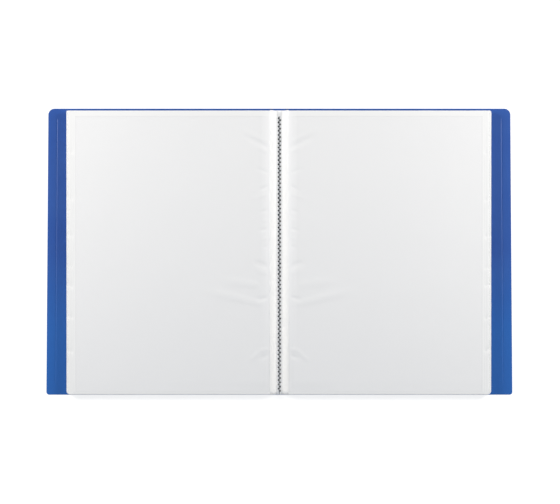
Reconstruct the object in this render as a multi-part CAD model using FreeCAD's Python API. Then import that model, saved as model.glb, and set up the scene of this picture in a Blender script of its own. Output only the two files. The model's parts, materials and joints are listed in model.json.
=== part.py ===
import FreeCAD
import Part
import os

# A welded display book for A4 sheets, lying open at its middle on a flat surface.
# One polypropylene sheet, creased twice, makes front cover, spine and back cover.
# Twenty film pockets are welded to the spine along its middle, ten to each side.
# +X runs to the right, +Y to the head of the book and +Z up.
# The origin lies under the middle of the spine, on the surface the book rests on.
# Lengths are in millimetres and angles in degrees.

# cover sheet
cover_height = 310.0
cover_width = 242.5            # crease to fore edge
cover_thickness = 0.7
spine_width = 17.0             # crease to crease
head_corner_radius = 6.8
foot_corner_radius = 3.0

# creases: the sheet is pressed to a thin web that bends
crease_web = 0.25
crease_half_width = 0.6
crease_gap = 0.04              # between the panels at the middle of the web

# line pressed into the inside of each cover, beside the fore edge
score_inset = 9.5
score_end_inset = 11.5
score_width = 1.4
score_depth = 0.15

# one pocket: two films, joined by a weld along three sides and open at the head
film_thickness = 0.12
slot_height = 0.36
pocket_height = 306.6
pocket_reach = 230.0           # middle of the spine to the pocket's fore edge
pocket_foot_inset = 0.3        # above the foot of the cover
crease_clearance = 1.4         # crease to the pocket's inner edge
spine_weld_width = 0.7
fore_weld_width = 6.4
foot_weld_width = 3.0
pocket_foot_radius = 4.0
pocket_head_radius = 1.8

# stack of pockets on each side
pockets_per_side = 10
pocket_gap = 0.15
cover_gap = 0.4                # cover to the first pocket

# loose A4 sheet in the uppermost pocket of each side
sheet_width = 210.0
sheet_height = 297.0
sheet_thickness = 0.1
sheet_side_play = 0.2
sheet_foot_play = 0.1

# film margins of all pockets, lying flat on the spine
margin_thickness = 0.06
margin_gap = 0.02
margin_crease_gap = 0.3        # outer edge of the margins to the crease

# weld that holds the margins on the spine
weld_half_width = 2.0
dot_pitch = 4.58
dot_width = 2.0
dot_length = 2.7
dot_depth = 0.5
dot_row_offset = 0.8           # each row of dots to the middle of the spine
dot_head_inset = 7.4           # first dot to the head end of the weld
dot_foot_inset = 3.2           # smallest distance of the last dots to its foot end

pocket_thickness = 2 * film_thickness + slot_height
pocket_pitch = pocket_thickness + pocket_gap
crease_x = spine_width / 2
fore_edge_x = crease_x + cover_width
cover_foot_y = -cover_height / 2
cover_head_y = cover_height / 2
pocket_foot_y = cover_foot_y + pocket_foot_inset
pocket_head_y = pocket_foot_y + pocket_height
pocket_start = crease_x + crease_clearance
slot_start = pocket_start + spine_weld_width
margin_pitch = margin_thickness + margin_gap
weld_top_z = cover_thickness + pockets_per_side * margin_pitch

LEFT = -1
RIGHT = 1
cutter_overrun = 1.0           # how far a cutter passes the faces it cuts through
same_place = 1e-6


def vector(x, y, z):
    return FreeCAD.Vector(x, y, z)


def box(x_low, x_high, y_low, y_high, z_low, z_high):
    solid = Part.makeBox(x_high - x_low, y_high - y_low, z_high - z_low)
    solid.translate(vector(x_low, y_low, z_low))
    return solid


def for_side(shape, side):
    """Mirrors a shape of the right half for the left half of the book."""
    if side == RIGHT:
        return shape
    return shape.mirror(vector(0, 0, 0), vector(1, 0, 0))


def plate(x_low, x_high, y_low, y_high, z_low, z_high, foot_radius, head_radius):
    """Flat plate whose two corners at x_high are rounded."""
    rounded = box(x_low, x_high, y_low, y_high, z_low, z_high)
    for corner_y, radius in ((y_low, foot_radius), (y_high, head_radius)):
        for edge in rounded.Edges:
            middle = edge.CenterOfMass
            upright = abs(edge.BoundBox.ZLength - (z_high - z_low)) < same_place
            at_side = abs(middle.x - x_high) < same_place
            at_end = abs(middle.y - corner_y) < same_place
            if upright and at_side and at_end:
                rounded = rounded.makeFillet(radius, [edge])
                break
    return rounded


def profile_along_y(points, y_low, y_high):
    """Solid with a closed outline of (x, z) points, drawn out along Y."""
    corners = [vector(x, y_low, z) for x, z in points]
    outline = Part.makePolygon(corners + [corners[0]])
    return Part.Face(outline).extrude(vector(0, y_high - y_low, 0))


def crease_bevel(side_of_crease):
    """Wedge that thins the sheet from below to its web, on one side of a crease."""
    near = crease_x - side_of_crease * crease_gap
    far = crease_x + side_of_crease * crease_half_width
    top = cover_thickness - crease_web
    points = [(near, -cutter_overrun), (far, -cutter_overrun), (far, 0.0), (near, top)]
    return profile_along_y(points, cover_foot_y - cutter_overrun,
                           cover_head_y + cutter_overrun)


def score_line():
    """Shallow round-bottomed groove in the inside of a cover."""
    half = score_width / 2
    radius = (half * half + score_depth * score_depth) / (2 * score_depth)
    length = cover_height - 2 * score_end_inset
    start = vector(fore_edge_x - score_inset, cover_foot_y + score_end_inset,
                   cover_thickness + radius - score_depth)
    return Part.makeCylinder(radius, length, start, vector(0, 1, 0))


def cover_panel(side):
    panel = plate(crease_x + crease_gap / 2, fore_edge_x, cover_foot_y, cover_head_y,
                  0, cover_thickness, foot_corner_radius, head_corner_radius)
    panel = panel.cut(crease_bevel(1))
    panel = panel.cut(score_line())
    return for_side(panel, side)


def spine_panel():
    half = crease_x - crease_gap / 2
    panel = box(-half, half, cover_foot_y, cover_head_y, 0, cover_thickness)
    for side in (LEFT, RIGHT):
        panel = panel.cut(for_side(crease_bevel(-1), side))
    return panel


def dot(x, y):
    """Four-sided pit with its point down, left by one tooth of the welding tool."""
    half_width = dot_width / 2
    half_length = dot_length / 2
    rim_z = weld_top_z
    rim = [vector(x - half_width, y, rim_z), vector(x, y - half_length, rim_z),
           vector(x + half_width, y, rim_z), vector(x, y + half_length, rim_z)]
    point = vector(x, y, rim_z - dot_depth)
    faces = [Part.Face(Part.makePolygon(rim + [rim[0]]))]
    for first, second in zip(rim, rim[1:] + rim[:1]):
        faces.append(Part.Face(Part.makePolygon([first, second, point, first])))
    return Part.makeSolid(Part.makeShell(faces))


def weld_seam():
    """Fused middle of the film bundle, with two staggered rows of weld dots."""
    strip = box(-weld_half_width, weld_half_width, pocket_foot_y, pocket_head_y,
                cover_thickness, weld_top_z)
    first_y = pocket_head_y - dot_head_inset
    run = first_y - (pocket_foot_y + dot_foot_inset)
    rows = ((-dot_row_offset, 0.0), (dot_row_offset, dot_pitch / 2))
    dots = []
    for row_x, start in rows:
        count = int((run - start) / dot_pitch) + 1
        for index in range(count):
            dots.append(dot(row_x, first_y - start - index * dot_pitch))
    return strip.cut(Part.makeCompound(dots))


def pocket_bottom(level):
    """Height of a pocket's underside; level 0 lies next to the cover."""
    return cover_thickness + cover_gap + level * pocket_pitch


def leaf_layer(z_low, z_high):
    return plate(pocket_start, pocket_reach, pocket_foot_y, pocket_head_y,
                 z_low, z_high, pocket_foot_radius, pocket_head_radius)


def pocket(side, level):
    """Two films and the three welded strips between them; the head stays open."""
    bottom = pocket_bottom(level)
    slot_low = bottom + film_thickness
    slot_high = slot_low + slot_height
    fore_weld_x = pocket_reach - fore_weld_width
    slot_foot_y = pocket_foot_y + foot_weld_width
    lower_film = leaf_layer(bottom, slot_low)
    upper_film = leaf_layer(slot_high, slot_high + film_thickness)
    spine_weld = box(pocket_start, slot_start, pocket_foot_y, pocket_head_y,
                     slot_low, slot_high)
    foot_weld = box(slot_start, fore_weld_x, pocket_foot_y, slot_foot_y,
                    slot_low, slot_high)
    fore_weld = plate(fore_weld_x, pocket_reach, pocket_foot_y, pocket_head_y,
                      slot_low, slot_high, pocket_foot_radius, pocket_head_radius)
    parts = [lower_film, upper_film, spine_weld, foot_weld, fore_weld]
    return Part.makeCompound([for_side(part, side) for part in parts])


def margin_strips(side):
    """The pockets' margins, one on the other between the weld and the crease."""
    strips = []
    for level in range(pockets_per_side):
        low_z = cover_thickness + level * margin_pitch
        strip = box(weld_half_width, crease_x - margin_crease_gap,
                    pocket_foot_y, pocket_head_y, low_z, low_z + margin_thickness)
        strips.append(for_side(strip, side))
    return Part.makeCompound(strips)


def insert_sheet(side):
    """A4 sheet that stands on the foot weld of the uppermost pocket."""
    slot_low = pocket_bottom(pockets_per_side - 1) + film_thickness
    low_x = slot_start + sheet_side_play
    low_y = pocket_foot_y + foot_weld_width + sheet_foot_play
    low_z = slot_low + (slot_height - sheet_thickness) / 2
    sheet = box(low_x, low_x + sheet_width, low_y, low_y + sheet_height,
                low_z, low_z + sheet_thickness)
    return for_side(sheet, side)


def book():
    """All pieces by name. Pockets are numbered from the front cover on."""
    pieces = {
        "spine_panel": spine_panel(),
        "front_cover": cover_panel(LEFT),
        "back_cover": cover_panel(RIGHT),
        "weld_seam": weld_seam(),
        "front_margins": margin_strips(LEFT),
        "back_margins": margin_strips(RIGHT),
        "front_insert_sheet": insert_sheet(LEFT),
        "back_insert_sheet": insert_sheet(RIGHT),
    }
    last = 2 * pockets_per_side
    for level in range(pockets_per_side):
        pieces["pocket_%02d" % (level + 1)] = pocket(LEFT, level)
        pieces["pocket_%02d" % (last - level)] = pocket(RIGHT, level)
    return pieces


os.makedirs("parts", exist_ok=True)
for name, shape in book().items():
    shape.exportStep("parts/" + name + ".step")
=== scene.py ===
import json
import math

import bpy
import numpy as np
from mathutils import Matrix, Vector

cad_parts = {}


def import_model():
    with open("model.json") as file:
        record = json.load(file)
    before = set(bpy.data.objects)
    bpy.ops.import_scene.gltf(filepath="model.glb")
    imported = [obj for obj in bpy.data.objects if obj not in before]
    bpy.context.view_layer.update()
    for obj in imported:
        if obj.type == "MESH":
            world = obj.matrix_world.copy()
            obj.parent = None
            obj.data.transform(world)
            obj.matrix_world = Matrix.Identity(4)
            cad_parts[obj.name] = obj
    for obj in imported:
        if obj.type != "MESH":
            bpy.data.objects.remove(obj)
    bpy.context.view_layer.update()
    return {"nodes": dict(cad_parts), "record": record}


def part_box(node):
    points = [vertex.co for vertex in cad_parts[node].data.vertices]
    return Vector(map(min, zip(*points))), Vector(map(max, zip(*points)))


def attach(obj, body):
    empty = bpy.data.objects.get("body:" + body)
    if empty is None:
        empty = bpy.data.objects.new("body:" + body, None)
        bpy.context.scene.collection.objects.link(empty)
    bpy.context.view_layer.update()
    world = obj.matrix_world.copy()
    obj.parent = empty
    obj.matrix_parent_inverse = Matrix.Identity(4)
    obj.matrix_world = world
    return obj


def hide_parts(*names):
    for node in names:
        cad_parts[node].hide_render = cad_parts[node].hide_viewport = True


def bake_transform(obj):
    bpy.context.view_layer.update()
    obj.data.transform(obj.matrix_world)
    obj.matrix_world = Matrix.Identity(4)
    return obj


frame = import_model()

mm = 0.001
scene = bpy.context.scene

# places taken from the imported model
coverLow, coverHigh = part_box("back_cover")
spineLow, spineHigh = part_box("spine_panel")
weldLow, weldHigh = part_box("weld_seam")
marginLow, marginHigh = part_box("back_margins")
sheetLow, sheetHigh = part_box("back_insert_sheet")
pocketLow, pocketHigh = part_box("pocket_11")
bodies = frame["record"]["behaviour"]["bodies"]
pocketCount = sum(name.startswith("pocket_") for name in bodies)
perSide = pocketCount // 2
creaseX = spineHigh.x
coverTop = coverHigh.z


# small helpers

def srgb(hexCode):
    channels = [int(hexCode[i:i + 2], 16) / 255 for i in (1, 3, 5)]
    linear = [c / 12.92 if c <= 0.04045 else ((c + 0.055) / 1.055) ** 2.4 for c in channels]
    return (*linear, 1.0)


def addNode(tree, kind, settings=None, links=None):
    node = tree.nodes.new(kind)
    for key, value in (settings or {}).items():
        if isinstance(key, int) or key in node.inputs:
            node.inputs[key].default_value = value
        else:
            setattr(node, key, value)
    for key, socket in (links or {}).items():
        tree.links.new(socket, node.inputs[key])
    return node


def newMaterial(name):
    material = bpy.data.materials.new(name)
    material.use_nodes = True
    tree = material.node_tree
    tree.nodes.clear()
    shader = addNode(tree, "ShaderNodeBsdfPrincipled")
    output = addNode(tree, "ShaderNodeOutputMaterial")
    tree.links.new(shader.outputs[0], output.inputs[0])
    place = addNode(tree, "ShaderNodeTexCoord").outputs["Object"]
    return material, tree, shader, place


def smooth(value):
    t = np.clip(value, 0, 1)
    return t * t * (3 - 2 * t)


def meshObject(name, points, faces, material, smoothShaded=True):
    mesh = bpy.data.meshes.new(name)
    mesh.from_pydata([tuple(p) for p in points], [], faces)
    mesh.materials.append(material)
    mesh.polygons.foreach_set("use_smooth", [smoothShaded] * len(mesh.polygons))
    mesh.update()
    piece = bpy.data.objects.new(name, mesh)
    scene.collection.objects.link(piece)
    return piece


def dress(node, material):
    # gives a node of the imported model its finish
    mesh = frame["nodes"][node].data
    mesh.materials.clear()
    mesh.materials.append(material)


# materials

polypropyleneIor = 1.49

coverLook = {
    "blue": "#1B4A9A", "bluePale": "#2554A0",
    "patch": 70 * mm, "patchRange": (0.3, 0.8),  # size of the paler patches, and their noise range
    # the foot's tone is painted light: a brighter blue that makes up for the lamps' falloff towards
    # the foot
    "paintedFootLight": "#1E5EAC",
    "paintedLightSpan": (0, -85 * mm),         # between which heights the blue turns to the foot's brighter painted-light tone
    "roughness": (0.37, 0.49),
    "grain": 1.4 * mm,                   # the real 0.35 mm drawn four times as coarse, to show
    "grainDepth": 0.05 * mm, "grainStrength": 0.35,
}


def extrudedPolypropylene():
    # polypropylene sheet, extruded and rolled with a fine grain: satin, with soft broad highlights
    material, tree, shader, place = newMaterial("extrudedPolypropylene")
    patches = addNode(tree, "ShaderNodeTexNoise",
                      {"Scale": 1 / coverLook["patch"], "Detail": 3.0}, {"Vector": place})
    ramp = addNode(tree, "ShaderNodeValToRGB", None, {"Fac": patches.outputs[0]})
    stops = zip(ramp.color_ramp.elements, coverLook["patchRange"], ("blue", "bluePale"))
    for stop, position, colour in stops:
        stop.position = position
        stop.color = srgb(coverLook[colour])
    # painted light: the blue is painted brighter towards the foot, to make up for the lamps'
    # falloff there
    height = addNode(tree, "ShaderNodeSeparateXYZ", None, {"Vector": place}).outputs["Y"]
    nearHead, nearFoot = coverLook["paintedLightSpan"]
    share = addNode(tree, "ShaderNodeMapRange", {"From Min": nearHead, "From Max": nearFoot},
                    {"Value": height})
    tone = addNode(tree, "ShaderNodeMix", {"data_type": "RGBA"})
    tree.links.new(share.outputs[0], tone.inputs["Factor"])
    tree.links.new(ramp.outputs[0], tone.inputs[6])
    tone.inputs[7].default_value = srgb(coverLook["paintedFootLight"])
    tree.links.new(tone.outputs[2], shader.inputs["Base Color"])
    grain = addNode(tree, "ShaderNodeTexVoronoi", {"Scale": 1 / coverLook["grain"]},
                    {"Vector": place})
    bump = addNode(tree, "ShaderNodeBump",
                   {"Strength": coverLook["grainStrength"], "Distance": coverLook["grainDepth"]},
                   {"Height": grain.outputs["Distance"]})
    tree.links.new(bump.outputs[0], shader.inputs["Normal"])
    glossiest, dullest = coverLook["roughness"]
    gloss = addNode(tree, "ShaderNodeMapRange", {"To Min": glossiest, "To Max": dullest},
                    {"Value": patches.outputs[0]})
    tree.links.new(gloss.outputs[0], shader.inputs["Roughness"])
    shader.inputs["IOR"].default_value = polypropyleneIor
    return material


filmLook = {
    "tint": "#F9F9F9",
    "paintedHighlight": "#FCFCFC",               # painted highlight: the film is painted whiter near the weld, standing in for its glossy highlight
    "whitening": (20 * mm, 9.5 * mm),    # and between which distances from the middle the painted highlight grows
    "paintedHighlightAlong": (-130 * mm, 0),    # the painted highlight fades towards the foot
    "welded": "#F5F5F4",
    # the folded film is painted a touch darker at the foot, as painted shade
    "foldedHead": "#FFFFFE", "foldedFootShade": "#FDFCFA",
    "alpha": 0.78, "innerAlpha": 0.9, "smoothAlpha": 0.08, "weldAlpha": 0.93,
    "roughness": 0.34, "smoothRoughness": 0.22, "weldRoughness": 0.3, "foldRoughness": 0.4,
    "haze": 45 * mm, "hazeChange": (-0.06, 0.1),  # size of the duller patches, and what they change
    "peel": 1.6 * mm, "peelDepth": 0.03 * mm, "peelStrength": 0.3,
}


def paintedHighlightShare(tree, place):
    # 0 to 1: how strongly the painted highlight whitens the film near the weld, most at the head
    parts = addNode(tree, "ShaderNodeSeparateXYZ", None, {"Vector": place}).outputs
    reach = addNode(tree, "ShaderNodeMath", {"operation": "ABSOLUTE"}, {0: parts["X"]})
    outer, inner = filmLook["whitening"]
    near = addNode(tree, "ShaderNodeMapRange", {"From Min": outer, "From Max": inner},
                   {"Value": reach.outputs[0]})
    foot, head = filmLook["paintedHighlightAlong"]
    along = addNode(tree, "ShaderNodeMapRange", {"From Min": foot, "From Max": head},
                    {"Value": parts["Y"]})
    return addNode(tree, "ShaderNodeMath", {"operation": "MULTIPLY"},
                   {0: near.outputs[0], 1: along.outputs[0]}).outputs[0]


def paintedShadeFade(tree, place):
    # 0 at the foot to 1 at the head: the folds are painted a touch darker towards the foot, as
    #                                 painted shade
    height = addNode(tree, "ShaderNodeSeparateXYZ", None, {"Vector": place}).outputs["Y"]
    return addNode(tree, "ShaderNodeMapRange",
                   {"From Min": pocketLow.y, "From Max": pocketHigh.y},
                   {"Value": height}).outputs[0]


def embossedFilm(name, tints, alpha, roughness, shareOf, highlightAlpha=None):
    # cast polypropylene film with an embossed orange-peel face: milky, with a soft sheen
    material, tree, shader, place = newMaterial(name)
    share = shareOf(tree, place)
    # the tone mixes towards the second tint by the share: near the weld that is a painted
    # highlight, and on the folded film the first tint is painted shade at the foot
    tone = addNode(tree, "ShaderNodeMix", {"data_type": "RGBA"})
    tree.links.new(share, tone.inputs["Factor"])
    tone.inputs[6].default_value = srgb(tints[0])
    tone.inputs[7].default_value = srgb(tints[1])
    tree.links.new(tone.outputs[2], shader.inputs["Base Color"])
    # the opacity rises with the painted highlight near the weld
    if highlightAlpha:
        opacity = addNode(tree, "ShaderNodeMapRange", {"To Min": alpha, "To Max": highlightAlpha},
                          {"Value": share})
        tree.links.new(opacity.outputs[0], shader.inputs["Alpha"])
    else:
        shader.inputs["Alpha"].default_value = alpha
    shader.inputs["IOR"].default_value = polypropyleneIor
    peel = addNode(tree, "ShaderNodeTexNoise", {"Scale": 1 / filmLook["peel"], "Detail": 2.0},
                   {"Vector": place})
    bump = addNode(tree, "ShaderNodeBump",
                   {"Strength": filmLook["peelStrength"], "Distance": filmLook["peelDepth"]},
                   {"Height": peel.outputs[0]})
    tree.links.new(bump.outputs[0], shader.inputs["Normal"])
    haze = addNode(tree, "ShaderNodeTexNoise", {"Scale": 1 / filmLook["haze"], "Detail": 2.0},
                   {"Vector": place})
    glossier, duller = filmLook["hazeChange"]
    gloss = addNode(tree, "ShaderNodeMapRange",
                    {"To Min": roughness + glossier, "To Max": roughness + duller},
                    {"Value": haze.outputs[0]})
    tree.links.new(gloss.outputs[0], shader.inputs["Roughness"])
    return material


weldLook = {
    "core": "#A9ABAF", "corePale": "#C6C8CA", "side": "#FFFFFF",
    "coreWidth": (0.4 * mm, 1.4 * mm),   # between which distances from the middle the grey ends
    "coreHead": (6 * mm, 5 * mm),        # and between which distances from the head
    "crazing": 1.1 * mm, "crazingRange": (0.35, 0.7),
    "crazingDepth": 0.05 * mm, "crazingStrength": 0.3,
    "roughness": 0.3,
}


def fusedFilm():
    # the same film fused by the welding tool: clear and grey along the two rows, milky beside them
    material, tree, shader, place = newMaterial("fusedFilm")
    crazing = addNode(tree, "ShaderNodeTexNoise",
                      {"Scale": 1 / weldLook["crazing"], "Detail": 3.0}, {"Vector": place})
    ramp = addNode(tree, "ShaderNodeValToRGB", None, {"Fac": crazing.outputs[0]})
    stops = zip(ramp.color_ramp.elements, weldLook["crazingRange"], ("core", "corePale"))
    for stop, position, colour in stops:
        stop.position = position
        stop.color = srgb(weldLook[colour])
    parts = addNode(tree, "ShaderNodeSeparateXYZ", None, {"Vector": place}).outputs
    reach = addNode(tree, "ShaderNodeMath", {"operation": "ABSOLUTE"}, {0: parts["X"]})
    inner, outer = weldLook["coreWidth"]
    beside = addNode(tree, "ShaderNodeMapRange", {"From Min": inner, "From Max": outer},
                     {"Value": reach.outputs[0]})
    below, above = weldLook["coreHead"]
    head = addNode(tree, "ShaderNodeMapRange",
                   {"From Min": weldHigh.y - below, "From Max": weldHigh.y - above},
                   {"Value": parts["Y"]})
    milky = addNode(tree, "ShaderNodeMath", {"operation": "MAXIMUM"},
                    {0: beside.outputs[0], 1: head.outputs[0]})
    tone = addNode(tree, "ShaderNodeMix", {"data_type": "RGBA"})
    tree.links.new(milky.outputs[0], tone.inputs["Factor"])
    tree.links.new(ramp.outputs[0], tone.inputs[6])
    tone.inputs[7].default_value = srgb(weldLook["side"])
    tree.links.new(tone.outputs[2], shader.inputs["Base Color"])
    bump = addNode(tree, "ShaderNodeBump",
                   {"Strength": weldLook["crazingStrength"], "Distance": weldLook["crazingDepth"]},
                   {"Height": crazing.outputs[0]})
    tree.links.new(bump.outputs[0], shader.inputs["Normal"])
    shader.inputs["Roughness"].default_value = weldLook["roughness"]
    shader.inputs["IOR"].default_value = polypropyleneIor
    return material


pitLook = {"dark": "#131417", "pale": "#26282C", "mottle": 0.7 * mm, "roughness": 0.25}


def meltedPit():
    # film melted right through by a tooth: drawn a mottled near-black all over, with a glossy skin
    material, tree, shader, place = newMaterial("meltedPit")
    mottle = addNode(tree, "ShaderNodeTexNoise",
                     {"Scale": 1 / pitLook["mottle"], "Detail": 2.0}, {"Vector": place})
    ramp = addNode(tree, "ShaderNodeValToRGB", None, {"Fac": mottle.outputs[0]})
    ramp.color_ramp.elements[0].color = srgb(pitLook["dark"])
    ramp.color_ramp.elements[1].color = srgb(pitLook["pale"])
    tree.links.new(ramp.outputs[0], shader.inputs["Base Color"])
    shader.inputs["Roughness"].default_value = pitLook["roughness"]
    shader.inputs["IOR"].default_value = polypropyleneIor
    return material


paperLook = {"dark": "#F2F2F2", "pale": "#F8F8F8", "cloud": 3.8 * mm, "cloudDepth": 0.04 * mm,
             "cloudStrength": 0.2, "roughness": 0.85}


def uncoatedPaper():
    # uncoated white paper: matt, with a faint fibre cloud
    material, tree, shader, place = newMaterial("uncoatedPaper")
    fibres = addNode(tree, "ShaderNodeTexNoise",
                     {"Scale": 1 / paperLook["cloud"], "Detail": 5.0}, {"Vector": place})
    ramp = addNode(tree, "ShaderNodeValToRGB", None, {"Fac": fibres.outputs[0]})
    ramp.color_ramp.elements[0].color = srgb(paperLook["dark"])
    ramp.color_ramp.elements[1].color = srgb(paperLook["pale"])
    tree.links.new(ramp.outputs[0], shader.inputs["Base Color"])
    bump = addNode(tree, "ShaderNodeBump",
                   {"Strength": paperLook["cloudStrength"], "Distance": paperLook["cloudDepth"]},
                   {"Height": fibres.outputs[0]})
    tree.links.new(bump.outputs[0], shader.inputs["Normal"])
    shader.inputs["Roughness"].default_value = paperLook["roughness"]
    return material


coverPlastic = extrudedPolypropylene()
# the second tint of the page and weld pairs is the painted highlight near the weld
pageTints = (filmLook["tint"], filmLook["paintedHighlight"])
weldTints = (filmLook["welded"], filmLook["paintedHighlight"])
# the folded film's foot tint is painted shade
foldTints = (filmLook["foldedFootShade"], filmLook["foldedHead"])
topFilm = embossedFilm("embossedFilm", pageTints, filmLook["alpha"], filmLook["roughness"],
                       paintedHighlightShare, filmLook["weldAlpha"])
innerFilm = embossedFilm("stackedFilm", pageTints, filmLook["innerAlpha"], filmLook["roughness"],
                         paintedHighlightShare)
smoothFilm = embossedFilm("smoothFilmFace", pageTints, filmLook["smoothAlpha"],
                          filmLook["smoothRoughness"], paintedHighlightShare)
weldedFilm = embossedFilm("weldedFilm", weldTints, filmLook["weldAlpha"],
                          filmLook["weldRoughness"], paintedHighlightShare)
foldedFilm = embossedFilm("foldedFilm", foldTints, filmLook["weldAlpha"],
                          filmLook["foldRoughness"], paintedShadeFade)
weldPlastic = fusedFilm()
pitPlastic = meltedPit()
paper = uncoatedPaper()
print("materials made")


# cover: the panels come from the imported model, the creases are bent webs

for panel in ("front_cover", "back_cover", "spine_panel"):
    dress(panel, coverPlastic)

crease = {"halfWidth": 0.62 * mm, "web": 0.25 * mm, "steps": 12, "rowLength": 6 * mm}


def creaseWeb(name, side):
    across = np.linspace(-crease["halfWidth"], crease["halfWidth"], crease["steps"] + 1)
    rows = int((coverHigh.y - coverLow.y) / crease["rowLength"])
    along = np.linspace(coverLow.y, coverHigh.y, rows)
    depth = coverTop - crease["web"]
    points = []
    for y in along:
        for x in across:
            pressed = depth * (1 - smooth(abs(x) / crease["halfWidth"]))
            points.append((side * (creaseX + x), y, pressed))
        for x in across[::-1]:
            points.append((side * (creaseX + x), y, coverTop))
    ring = 2 * len(across)
    faces = []
    for row in range(len(along) - 1):
        for i in range(ring):
            a, b = row * ring + i, row * ring + (i + 1) % ring
            faces.append((a, b, b + ring, a + ring) if side > 0 else (b, a, a + ring, b + ring))
    last = (len(along) - 1) * ring
    first = list(range(ring))
    closing = [last + i for i in range(ring)]
    faces.append(tuple(first[::-1] if side > 0 else first))
    faces.append(tuple(closing if side > 0 else closing[::-1]))
    web = meshObject(name, points, faces, coverPlastic, False)
    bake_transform(web)


creaseWeb("front_crease_web", -1)
creaseWeb("back_crease_web", 1)
print("cover dressed")


# film pockets

leaf = {
    "film": 0.1 * mm,            # thickness of one film
    "dip": 0.12 * mm,            # how far the top of the stack sinks towards the weld
    "dipWidth": 0.8 * mm,
    "bendEnd": 10.7 * mm,        # middle of the spine to where a turned pocket is flat again
    "room": 0.7 * mm,            # the most that a top pocket may rise, so that the book can close
    "footRadius": 4.0 * mm,
    "headRadius": 1.8 * mm,
    "foreWeld": 6.4 * mm,
    "footWeld": 3.0 * mm,
    "spineWeld": 0.7 * mm,
    "milky": 9.6 * mm,           # border that looks milky along the fore edge, up to the sheet
    "headMargin": 0.4 * mm,      # from the sheet's head to the milky strip above it
    "weldSlope": 2.2 * mm,       # width over which the films part at a weld
    "trim": {-1: 0.6 * mm, 1: 1.65 * mm},  # how far the fore edge lies inside its nominal place
    "lean": 0.0068,              # and how far it leans out of the upright, per length
    "sag": 0.05 * mm,            # waves of the pockets in the stack, and their lengths
    "sagLengths": (120 * mm, 60 * mm), "sagSeed": 5,
    "ruffleSlope": 1.5 * mm,     # width over which the lower film takes on the fore edge's waves
    "seed": 40,                  # first seed of the top pockets' waves
}

# grid of a film: how far each stretch reaches, its spacing, how much coarser it is in the stack
leafGrid = {
    "bend": (leaf["bendEnd"], 0.06 * mm, 1),
    "beside": (15 * mm, 0.7 * mm, 2),
    "creased": (44 * mm, 1.1 * mm, 3.2),
    "page": (pocketHigh.x - 20 * mm, 4.4 * mm, 2.4),
    "foreEdge": (pocketHigh.x - 10 * mm, 1.2 * mm, 1.6),
    "foreWeld": (pocketHigh.x, 0.6 * mm, 2),
    "footRows": (pocketLow.y + 6 * mm, 0.8 * mm, 1),
    "pageRows": (pocketHigh.y - 8 * mm, 1.4 * mm, 3.2),
    "headRows": (pocketHigh.y, 1.0 * mm, 1),
}


def waves(u, y, seed, sizes):
    # sum of a few slow sine waves with seeded directions, between about -1 and 1
    draw = np.random.default_rng(seed)
    total = np.zeros(np.broadcast(u, y).shape)
    for size in sizes:
        angle = draw.uniform(0, math.pi)
        phase = draw.uniform(0, 2 * math.pi)
        length = size * draw.uniform(0.8, 1.25)
        total += np.sin((u * math.cos(angle) + y * math.sin(angle)) * 2 * math.pi / length + phase)
    return total / len(sizes)


# the film stands a little off the sheet beside the weld
puff = {"rise": 0.28 * mm, "start": 10 * mm, "full": 16 * mm, "fade": 26 * mm, "end": 75 * mm}

# broad slow waves of the page, and where they and the creases fade out towards its edges
swell = {"rise": 0.11 * mm, "lengths": (160 * mm, 110 * mm, 75 * mm, 50 * mm),
         "spineFade": 6 * mm, "foreFade": (9 * mm, 3 * mm), "footFade": 12 * mm,
         "lowest": -0.08 * mm}

# creases that start at the weld and fade into the page: where they run, how wide, how deep, in mm
creases = [
    {"start": (11, 111), "end": (40, 125), "width": 2.6, "rise": -0.9},
    {"start": (14, 119), "end": (44, 133), "width": 2.2, "rise": 0.45},
    {"start": (11, 106), "end": (24, 112), "width": 2.0, "rise": 0.35},
    {"start": (12, 84), "end": (27, 90), "width": 1.8, "rise": -0.4},
    {"start": (12, 70), "end": (24, 64), "width": 2.0, "rise": -0.55},
    {"start": (13, 61), "end": (31, 55), "width": 1.9, "rise": 0.45},
    {"start": (12, 44), "end": (22, 41), "width": 1.5, "rise": -0.5},
    {"start": (11, 24), "end": (23, 21), "width": 1.7, "rise": -0.55},
    {"start": (11, 33), "end": (19, 32), "width": 1.4, "rise": 0.4},
    {"start": (11, 14), "end": (20, 12), "width": 1.4, "rise": 0.4},
    {"start": (11, 5), "end": (19, 3), "width": 1.3, "rise": -0.4},
    {"start": (10, -18), "end": (28, -12), "width": 2.7, "rise": -0.95},
    {"start": (11, -25), "end": (26, -21), "width": 3.0, "rise": 0.3},
    {"start": (22, -57), "end": (82, -42), "width": 4.0, "rise": 0.65},
    {"start": (24, -37), "end": (62, -32), "width": 4.4, "rise": 0.55},
    {"start": (11, -50), "end": (26, -54), "width": 2.2, "rise": -0.65},
    {"start": (10, -106), "end": (21, -108), "width": 1.8, "rise": 0.75},
    {"start": (19, -107), "end": (32, -119), "width": 1.9, "rise": 0.7},
    {"start": (10, -112), "end": (23, -117), "width": 2.3, "rise": -0.6},
]


# along a crease from 0 to 1: how its width grows, and where it fades in and out
creaseRun = {"width": 0.6, "widening": 0.6, "lead": 0.12, "fadeIn": 0.2, "hold": 0.35,
             "fadeOut": 0.75}


def creaseHeight(u, y):
    total = np.zeros(np.broadcast(u, y).shape)
    for one in creases:
        start, end = np.array(one["start"]) * mm, np.array(one["end"]) * mm
        run = end - start
        length = math.hypot(*run)
        t = ((u - start[0]) * run[0] + (y - start[1]) * run[1]) / length ** 2
        away = ((u - start[0]) * run[1] - (y - start[1]) * run[0]) / length
        width = one["width"] * mm * (creaseRun["width"] + creaseRun["widening"] * np.clip(t, 0, 1))
        fade = (smooth((t + creaseRun["lead"]) / creaseRun["fadeIn"])
                * (1 - smooth((t - creaseRun["hold"]) / creaseRun["fadeOut"])))
        total += one["rise"] * mm * fade * np.exp(-(away / width) ** 2)
    return total


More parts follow.
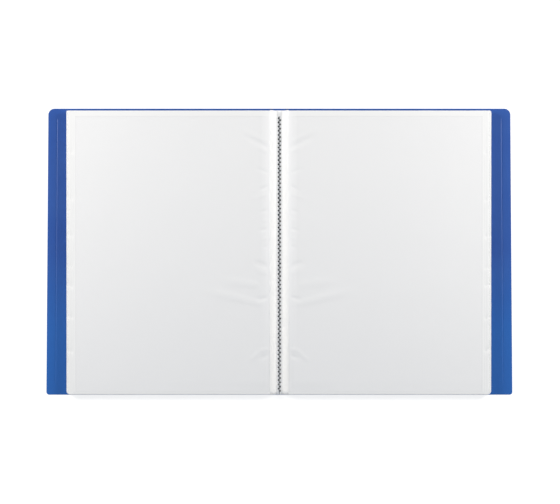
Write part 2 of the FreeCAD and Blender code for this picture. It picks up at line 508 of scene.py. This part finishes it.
# deeper tucks in the fore edge, gentle on one side and sharp on the other; places in mm
tucks = {"rise": 0.55 * mm, "width": 8.5 * mm, "slope": 2.5 * mm, "gentle": 4.0 * mm,
         "sharp": 0.9 * mm, "lean": 0.3, "places": (107, 56, 17, -17, -37, -71, -107)}

# short waves along the fore edge and, over part of its height, beside it on the page
ruffle = {
    "rise": 0.06 * mm,
    "edgeLengths": (11 * mm, 17 * mm, 7 * mm, 29 * mm), "edgeLean": 0.3,
    "pageLengths": (5.2 * mm, 6.5 * mm, 4.1 * mm), "pageLean": 0.2,
    "pageStart": 20 * mm, "pageSlope": 14 * mm,
    "foot": -30 * mm, "head": 90 * mm, "endSlope": 50 * mm,
}


def foreRuffle(u, y, seed):
    # what the side weld does to the fore edge
    draw = np.random.default_rng(seed)
    edge = pocketHigh.x
    near = smooth((u - (edge - tucks["width"])) / tucks["slope"])
    far = (smooth((u - (edge - ruffle["pageStart"])) / ruffle["pageSlope"])
           * smooth((y - ruffle["foot"]) / ruffle["endSlope"])
           * smooth((ruffle["head"] - y) / ruffle["endSlope"]))
    atEdge = waves(u * ruffle["edgeLean"], y, seed + 1, ruffle["edgeLengths"])
    onPage = waves(u * ruffle["pageLean"], y, seed + 2, ruffle["pageLengths"])
    total = ruffle["rise"] * near * (1 + atEdge)
    total += ruffle["rise"] * far * (1 + onPage)
    groove = np.zeros(np.broadcast(u, y).shape)
    for place in tucks["places"]:
        step = y - (place + draw.uniform(-1, 1)) * mm + (edge - u) * tucks["lean"]
        groove += np.where(step > 0, np.exp(-step / tucks["gentle"]), np.exp(step / tucks["sharp"]))
    return total + tucks["rise"] * near * (1 - np.minimum(groove, 1))


def roundCorners(u, y, lowU, highU, lowY, highY):
    # moves a square grid's corner patches onto round corners at the fore edge
    u, y = u.copy(), y.copy()
    ends = ((lowY, -1, leaf["footRadius"]), (highY, 1, leaf["headRadius"]))
    for edgeY, direction, radius in ends:
        s = (u - (highU - radius)) / radius
        t = direction * (y - (edgeY - direction * radius)) / radius
        inside = (s > 0) & (t > 0)
        newS = s * np.sqrt(np.clip(1 - t * t / 2, 0, 1))
        newT = t * np.sqrt(np.clip(1 - s * s / 2, 0, 1))
        u = np.where(inside, highU - radius + newS * radius, u)
        y = np.where(inside, edgeY - direction * radius + direction * newT * radius, y)
    return u, y


def gridLines(start, stretches, isTop):
    # places of the grid's lines, from start on through neighbouring stretches of leafGrid
    lines = []
    for end, spacing, coarser in (leafGrid[stretch] for stretch in stretches):
        spacing *= 1 if isTop else coarser
        count = max(1, round((end - start) / spacing))
        lines.append(np.linspace(start, end, count, endpoint=False))
        start = end
    return np.append(np.concatenate(lines), start)


def shellFaces(columns, rows, flip, offset):
    # closed thin shell of two grids: upper first, lower second
    count = columns * rows
    faces = []

    def quad(a, b, c, d):
        face = (a + offset, b + offset, c + offset, d + offset)
        faces.append(face[::-1] if flip else face)

    for j in range(rows - 1):
        for i in range(columns - 1):
            a = j * columns + i
            quad(a, a + 1, a + 1 + columns, a + columns)
            quad(a + count, a + columns + count, a + 1 + columns + count, a + 1 + count)
    for i in range(columns - 1):
        a, b = i, (rows - 1) * columns + i
        quad(a + 1, a, a + count, a + 1 + count)
        quad(b, b + 1, b + 1 + count, b + count)
    for j in range(rows - 1):
        a, b = j * columns, j * columns + columns - 1
        quad(a, a + columns, a + columns + count, a + count)
        quad(b + columns, b, b + count, b + columns + count)
    return faces


def flatRims(piece, columns, rows):
    # the narrow rim faces of a shell are shaded flat, so that its two faces stay clean to the edge
    broad = 2 * (columns - 1) * (rows - 1)
    shell = broad + 2 * (columns - 1) + 2 * (rows - 1)
    order = np.arange(len(piece.data.polygons)) % shell
    piece.data.polygons.foreach_set("use_smooth", (order < broad).tolist())


def underRoom(rise):
    # eases heights off below the room, and leaves the lower half of it as it is
    half = leaf["room"] / 2
    return np.where(rise > half, half + half * np.tanh((rise - half) / half), rise)


def stackDip(u, z):
    share = (z - coverTop) / (pocketHigh.z - coverTop)
    return leaf["dip"] * share * smooth((pocketLow.x + leaf["dipWidth"] - u) / leaf["dipWidth"])


# fine lines that the side weld's tool pressed: distance to the fore edge and rise, both in mm
ribs = ((0.5, 0.1), (1.7, -0.16), (4.0, 0.08), (5.6, -0.17), (8.6, 0.1))
ribWidth = 0.7 * mm


def pageRise(gridU, gridY, fromFoot, seed):
    # how far the upper film of a top pocket stands off its sheet
    fadeStart, fadeWidth = swell["foreFade"]
    inPage = (smooth((gridU - pocketLow.x) / swell["spineFade"])
              * (1 - smooth((gridU - pocketHigh.x + fadeStart) / fadeWidth)))
    lift = swell["rise"] * (1 + waves(gridU, gridY, seed, swell["lengths"]))
    bulge = puff["rise"] * (smooth((gridU - puff["start"]) / (puff["full"] - puff["start"]))
                            * smooth((puff["end"] - gridU) / (puff["end"] - puff["fade"])))
    rise = (inPage * smooth(fromFoot / swell["footFade"])
            * (lift + bulge + creaseHeight(gridU, gridY)))
    return np.maximum(rise, swell["lowest"])


def pocketPiece(name, side, low, high, isTop, seed):
    lowU, highU, lowY, highY = pocketLow.x, pocketHigh.x, pocketLow.y, pocketHigh.y
    us = gridLines(lowU, ("bend", "beside", "creased", "page", "foreEdge", "foreWeld"), isTop)
    ys = gridLines(lowY, ("footRows", "pageRows", "headRows"), isTop)
    gridU, gridY = np.meshgrid(us, ys)
    u, y = roundCorners(gridU, gridY, lowU, highU, lowY, highY)
    outward = leaf["lean"] * gridY - leaf["trim"][side]
    u = u + outward * smooth((gridU - highU / 2) / (highU / 2))
    middle, half = (low + high) / 2, (high - low) / 2 - leaf["film"]
    slope = leaf["weldSlope"]
    fromFore = highU - leaf["foreWeld"] - gridU
    fromFoot = gridY - lowY - leaf["footWeld"]
    fromSpine = gridU - lowU - leaf["spineWeld"]
    parted = (smooth(fromFore / slope) * smooth(fromFoot / slope + 1)
              * smooth(fromSpine / leaf["spineWeld"] + 1))
    middle = middle - stackDip(gridU, middle)
    upper = middle + leaf["film"] + half * parted
    lower = middle - leaf["film"] - half * parted
    if isTop:
        pressed = sum(rise * mm * np.exp(-((highU - gridU - place * mm) / ribWidth) ** 2)
                      for place, rise in ribs)
        waved = foreRuffle(gridU, gridY, seed)
        upper = upper + underRoom(pageRise(gridU, gridY, fromFoot, seed) + waved + pressed)
        lower = lower + waved * smooth((gridU - highU + leaf["foreWeld"]) / leaf["ruffleSlope"])
    else:
        common = leaf["sag"] * waves(gridU, gridY, leaf["sagSeed"], leaf["sagLengths"])
        upper, lower = upper + common, lower + common
    # each film is embossed outside and smooth inside, and the top pocket looks milky past its sheet
    cellU, cellY = np.meshgrid((us[1:] + us[:-1]) / 2, (ys[1:] + ys[:-1]) / 2)
    welded = ((cellU > highU - leaf["milky"]) | (cellY < lowY + leaf["footWeld"])
              | (cellY > sheetHigh.y + leaf["headMargin"]))
    outside = np.where(welded & isTop, 2, 0).ravel()
    inside = np.ones_like(outside)
    points, faces, marks = [], [], []
    for top, bottom, kinds in ((upper, upper - leaf["film"], (outside, inside)),
                               (lower + leaf["film"], lower, (inside, outside))):
        offset = len(points)
        for surface in (top, bottom):
            points.extend(np.stack([side * u, y, surface], -1).reshape(-1, 3))
        shell = shellFaces(len(us), len(ys), side < 0, offset)
        faces.extend(shell)
        marks.extend(np.stack(kinds, -1).ravel())
        marks.extend([0] * (len(shell) - 2 * outside.size))
    piece = meshObject(name, points, faces, topFilm if isTop else innerFilm)
    piece.data.materials.append(smoothFilm)
    piece.data.materials.append(weldedFilm)
    piece.data.polygons.foreach_set("material_index", marks)
    flatRims(piece, len(us), len(ys))
    return piece


def pocketName(number):
    return "pocket_%02d" % number


for number in range(1, pocketCount + 1):
    node = pocketName(number)
    inFront = number <= perSide
    side = -1 if inFront else 1
    level = number - 1 if inFront else pocketCount - number
    low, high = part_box(node)
    piece = pocketPiece(node + "_film", side, low.z, high.z, level == perSide - 1,
                        leaf["seed"] + number)
    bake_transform(piece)
    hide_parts(node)
print("pockets made")

for sheet in ("front_insert_sheet", "back_insert_sheet"):
    dress(sheet, paper)


# film between the weld and the pockets

gutter = {
    "film": 0.07 * mm, "steps": 18, "rowLength": 4 * mm,
    "slope": 1.15,               # run for each height that a margin climbs
    "spread": 1.25,              # height between two margins' upper ends, in pocket heights
    "clear": 0.9 * mm,           # how far inside the crease's mirror of the pocket a climb starts
    "lead": 0.5 * mm,            # last flat stretch before the climb
    "overlap": 0.3 * mm,
    "headReach": 1.1 * mm,       # how far the margins stand out past the weld at the head
    "headStep": 0.04,            # share of it by which each is shorter than the one below
    "sway": 0.15 * mm, "swayLengths": (60 * mm, 31 * mm, 17 * mm), "swaySeed": 7,
}


def headEnd(edgeY, level):
    return edgeY + gutter["headReach"] * (1 - gutter["headStep"] * level)


def gutterFilm(name, side, node, level):
    # one margin: flat from the weld on, then up to the inner edge of its pocket
    marginPitch = (marginHigh.z - marginLow.z) / perSide
    pitch = (pocketHigh.z - pocketLow.z) * gutter["spread"]
    middle = (pocketHigh.z + pocketLow.z) / 2 - (perSide - 1 - level) * pitch
    start = marginLow.z + (level + 1) * marginPitch
    end = float(middle - stackDip(np.array(pocketLow.x), np.array(middle))) + gutter["film"] / 2
    foot = min(2 * creaseX - pocketLow.x + gutter["clear"],
               pocketLow.x - gutter["slope"] * (end - start))
    foot = max(weldHigh.x, foot)
    path = [(weldHigh.x, start)]
    if foot > weldHigh.x + 2 * gutter["lead"]:
        path.append((foot - gutter["lead"], start))
    for t in np.linspace(0, 1, gutter["steps"]):
        height = start + (end - start) * float(smooth(t))
        path.append((foot + (pocketLow.x - foot) * t, height))
    path.append((pocketLow.x + gutter["overlap"], end))
    rows = int((marginHigh.y - marginLow.y) / gutter["rowLength"])
    ys = np.linspace(marginLow.y, marginHigh.y, rows)
    ys = np.append(ys, headEnd(marginHigh.y, level))
    bows = waves(np.array(0.0), ys, gutter["swaySeed"] + level, gutter["swayLengths"])
    bows = gutter["sway"] * bows * level / perSide
    columns = len(path)
    span = pocketLow.x - weldHigh.x
    points = []
    for thickness in (0, gutter["film"]):
        for y, bow in zip(ys, bows):
            for i, (x, z) in enumerate(path):
                lift = bow * math.sin(math.pi * i / (columns - 1)) * (x - weldHigh.x) / span
                points.append((side * x, y, z + lift - thickness))
    piece = meshObject(name, points, shellFaces(columns, len(ys), side < 0, 0), foldedFilm)
    flatRims(piece, columns, len(ys))
    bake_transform(piece)
    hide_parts(node)


for level in range(perSide):
    gutterFilm("front_gutter_film_%02d" % (level + 1), -1, "front_margins", level)
    gutterFilm("back_gutter_film_%02d" % (level + 1), 1, "back_margins", level)


headEnds = {"thickness": 0.85, "past": 0.05 * mm, "root": 0.2 * mm}


def weldHead():
    # the film ends stand out past the weld at the head, one a little shorter than the one below
    pitch = (weldHigh.z - weldLow.z) / perSide
    half = weldHigh.x + headEnds["past"]
    points, faces = [], []
    for level in range(perSide):
        low = weldLow.z + level * pitch
        root, end = weldHigh.y - headEnds["root"], headEnd(weldHigh.y, level)
        faces.extend(shellFaces(2, 2, False, len(points)))
        points.extend((x, y, z) for z in (low + pitch * headEnds["thickness"], low)
                      for y in (root, end) for x in (-half, half))
    ends = meshObject("weld_head_ends", points, faces, weldPlastic, False)
    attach(ends, "spine")


weldHead()
print("gutter film made")


# weld dots: small melted pits in two staggered rows

dots = {
    "pitch": 4.58 * mm, "width": 1.92 * mm, "length": 2.6 * mm, "depth": 0.46 * mm,
    "rowOffset": 0.8 * mm, "headInset": 7.4 * mm, "footInset": 3.2 * mm,
    "rim": 0.24, "rimHeight": 0.03 * mm,    # melted collar round each pit, as a share of its width
    "smallest": 0.9, "seed": 3,             # size of the faintest pit, and how they are drawn
}
dress("weld_seam", weldPlastic)


def dotTree():
    tree = bpy.data.node_groups.new("weldDots", "GeometryNodeTree")
    face = tree.interface
    face.new_socket("Geometry", in_out="OUTPUT", socket_type="NodeSocketGeometry")
    for name in ("Pitch", "Width", "Length", "Depth", "Rim", "Rim Height", "Row Offset", "Start",
                 "Run", "Height", "Smallest"):
        face.new_socket(name, in_out="INPUT", socket_type="NodeSocketFloat")
    face.new_socket("Seed", in_out="INPUT", socket_type="NodeSocketInt")
    face.new_socket("Material", in_out="INPUT", socket_type="NodeSocketMaterial")
    given = addNode(tree, "NodeGroupInput").outputs
    output = addNode(tree, "NodeGroupOutput")

    def calc(operation, *values):
        node = addNode(tree, "ShaderNodeMath", {"operation": operation})
        for socket, value in zip(node.inputs, values):
            if isinstance(value, (int, float)):
                socket.default_value = value
            else:
                tree.links.new(value, socket)
        return node.outputs[0]

    half = calc("MULTIPLY", given["Width"], 0.5)
    stretch = addNode(tree, "ShaderNodeCombineXYZ", {"X": 1.0, "Z": 1.0},
                      {"Y": calc("DIVIDE", given["Length"], given["Width"])})
    cone = addNode(tree, "GeometryNodeMeshCone",
                   {"Vertices": 4, "fill_type": "NONE", "Radius Top": 0.0},
                   {"Radius Bottom": half, "Depth": given["Depth"]})
    pit = addNode(tree, "GeometryNodeTransform", {"Rotation": (math.pi, 0, 0)},
                  {"Geometry": cone.outputs["Mesh"]})
    raised = addNode(tree, "ShaderNodeCombineXYZ", None, {"Z": given["Rim Height"]})
    pitPlaced = addNode(tree, "GeometryNodeTransform", None,
                        {"Geometry": pit.outputs[0], "Translation": raised.outputs[0]})
    collar = addNode(tree, "GeometryNodeMeshCone", {"Vertices": 4, "fill_type": "NONE"},
                     {"Radius Bottom": calc("MULTIPLY", half, calc("ADD", 1.0, given["Rim"])),
                      "Radius Top": half, "Depth": given["Rim Height"]})
    both = addNode(tree, "GeometryNodeJoinGeometry")
    for part in (collar.outputs["Mesh"], pitPlaced.outputs[0]):
        tree.links.new(part, both.inputs[0])
    turned = addNode(tree, "GeometryNodeTransform", None,
                     {"Geometry": both.outputs[0], "Scale": stretch.outputs[0]})
    rows = []
    for side, shift in ((-1, 0.0), (1, 0.5)):
        startY = calc("SUBTRACT", given["Start"], calc("MULTIPLY", given["Pitch"], shift))
        room = calc("SUBTRACT", given["Run"], calc("MULTIPLY", given["Pitch"], shift))
        count = calc("ADD", calc("FLOOR", calc("DIVIDE", room, given["Pitch"])), 1.0)
        first = addNode(tree, "ShaderNodeCombineXYZ", None,
                        {"X": calc("MULTIPLY", given["Row Offset"], float(side)), "Y": startY,
                         "Z": given["Height"]})
        stride = addNode(tree, "ShaderNodeCombineXYZ", None,
                         {"Y": calc("MULTIPLY", given["Pitch"], -1.0)})
        line = addNode(tree, "GeometryNodeMeshLine", {"mode": "OFFSET"},
                       {"Count": count, "Start Location": first.outputs[0],
                        "Offset": stride.outputs[0]})
        rows.append(line.outputs[0])
    points = addNode(tree, "GeometryNodeJoinGeometry")
    for row in rows:
        tree.links.new(row, points.inputs[0])
    wear = addNode(tree, "FunctionNodeRandomValue", {"data_type": "FLOAT", 3: 1.0},
                   {"Seed": given["Seed"], 2: given["Smallest"]})
    placed = addNode(tree, "GeometryNodeInstanceOnPoints", None,
                     {"Points": points.outputs[0], "Instance": turned.outputs[0],
                      "Scale": wear.outputs[1]})
    real = addNode(tree, "GeometryNodeRealizeInstances", None, {"Geometry": placed.outputs[0]})
    painted = addNode(tree, "GeometryNodeSetMaterial", None,
                      {"Geometry": real.outputs[0], "Material": given["Material"]})
    tree.links.new(painted.outputs[0], output.inputs[0])
    return tree


def fromNodes(name, tree, values):
    # runs a geometry tree once and keeps its result as a plain mesh
    holder = bpy.data.objects.new(name, bpy.data.meshes.new(name))
    scene.collection.objects.link(holder)
    modifier = holder.modifiers.new("nodes", "NODES")
    modifier.node_group = tree
    for item in tree.interface.items_tree:
        if item.in_out == "INPUT" and item.name in values:
            modifier[item.identifier] = values[item.name]
    evaluated = holder.evaluated_get(bpy.context.evaluated_depsgraph_get())
    mesh = bpy.data.meshes.new_from_object(evaluated)
    holder.modifiers.clear()
    holder.data = mesh
    return holder


weldDots = fromNodes("weld_dots", dotTree(), {
    "Pitch": dots["pitch"], "Width": dots["width"], "Length": dots["length"],
    "Depth": dots["depth"], "Rim": dots["rim"], "Rim Height": dots["rimHeight"],
    "Row Offset": dots["rowOffset"], "Smallest": dots["smallest"],
    "Start": weldHigh.y - dots["headInset"],
    "Run": weldHigh.y - weldLow.y - dots["headInset"] - dots["footInset"],
    "Height": weldHigh.z, "Seed": dots["seed"], "Material": pitPlastic})
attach(weldDots, "spine")
print("weld dots made:", len(weldDots.data.polygons), "faces")


# studio: white floor, soft light, camera above the book

studio = {
    "floorSize": 6.0, "floor": "#FFFFFF", "floorRoughness": 0.9, "floorGloss": 0.1,
    # what the camera sees of the floor: a darker tone, lifted to white
    "floorSeen": "#A8A8A8", "floorLift": 0.77,
    "world": "#ECF3F9", "worldPower": 0.28,
    "keyTint": "#FFFCF9", "keyPower": 9.3, "keySize": 0.5,
    # place and aim of the right key lamp; the left one is its mirror
    "keyPlace": (0.9, 0.37, 0.62), "keyAim": (0.22, 0.08, 0),
    "fillTint": "#C4DCFF", "fillPower": 1.0, "fillSize": 0.5, "fillPlace": (0, -0.9, 0.7),
}


def studioFloor():
    material, tree, shader, _ = newMaterial("paperSweep")
    shader.inputs["Roughness"].default_value = studio["floorRoughness"]
    shader.inputs["Specular IOR Level"].default_value = studio["floorGloss"]
    seen = addNode(tree, "ShaderNodeLightPath").outputs["Is Camera Ray"]
    lift = addNode(tree, "ShaderNodeMath", {"operation": "MULTIPLY", 1: studio["floorLift"]},
                   {0: seen})
    tone = addNode(tree, "ShaderNodeMix", {"data_type": "RGBA"})
    tree.links.new(seen, tone.inputs["Factor"])
    tone.inputs[6].default_value = srgb(studio["floor"])
    tone.inputs[7].default_value = srgb(studio["floorSeen"])
    tree.links.new(tone.outputs[2], shader.inputs["Base Color"])
    shader.inputs["Emission Color"].default_value = (1, 1, 1, 1)
    tree.links.new(lift.outputs[0], shader.inputs["Emission Strength"])
    half = studio["floorSize"] / 2
    corners = [(-half, -half, 0), (half, -half, 0), (half, half, 0), (-half, half, 0)]
    floor = meshObject("studio_floor", corners, [(0, 1, 2, 3)], material, False)


def softLamp(name, place, target, size, power, tint):
    data = bpy.data.lights.new(name, "AREA")
    data.shape = "DISK"
    data.size = size
    data.energy = power
    data.color = srgb(tint)[:3]
    lamp = bpy.data.objects.new(name, data)
    lamp.location = place
    lamp.rotation_euler = (Vector(target) - Vector(place)).to_track_quat("-Z", "Y").to_euler()
    scene.collection.objects.link(lamp)


def world():
    surround = bpy.data.worlds.new("studio")
    scene.world = surround
    surround.use_nodes = True
    back = surround.node_tree.nodes["Background"]
    back.inputs["Color"].default_value = srgb(studio["world"])
    back.inputs["Strength"].default_value = studio["worldPower"]


studioFloor()
for side, name in ((-1, "key_left"), (1, "key_right")):
    (x, y, z), (aimX, aimY, aimZ) = studio["keyPlace"], studio["keyAim"]
    softLamp(name, (side * x, y, z), (side * aimX, aimY, aimZ), studio["keySize"],
             studio["keyPower"], studio["keyTint"])
softLamp("fill_foot", studio["fillPlace"], (0, 0, 0), studio["fillSize"], studio["fillPower"],
         studio["fillTint"])
world()

# the camera looks down from a little before the foot; width is what it sees at the book, in metres
view = {"distance": 2.0, "tilt": math.radians(3.2), "width": 0.6062, "aim": (0.0007, -0.001, 0.0),
        "sensor": 36.0, "farthest": 20.0}
camera = bpy.data.objects.new("camera", bpy.data.cameras.new("camera"))
scene.collection.objects.link(camera)
back = Vector((0, -math.sin(view["tilt"]), math.cos(view["tilt"])))
camera.location = Vector(view["aim"]) + back * view["distance"]
camera.rotation_euler = (view["tilt"], 0, 0)
camera.data.sensor_width = view["sensor"]
camera.data.lens = view["sensor"] * view["distance"] / view["width"]
camera.data.clip_end = view["farthest"]
scene.camera = camera
scene.view_settings.view_transform = "Standard"
print("studio set")
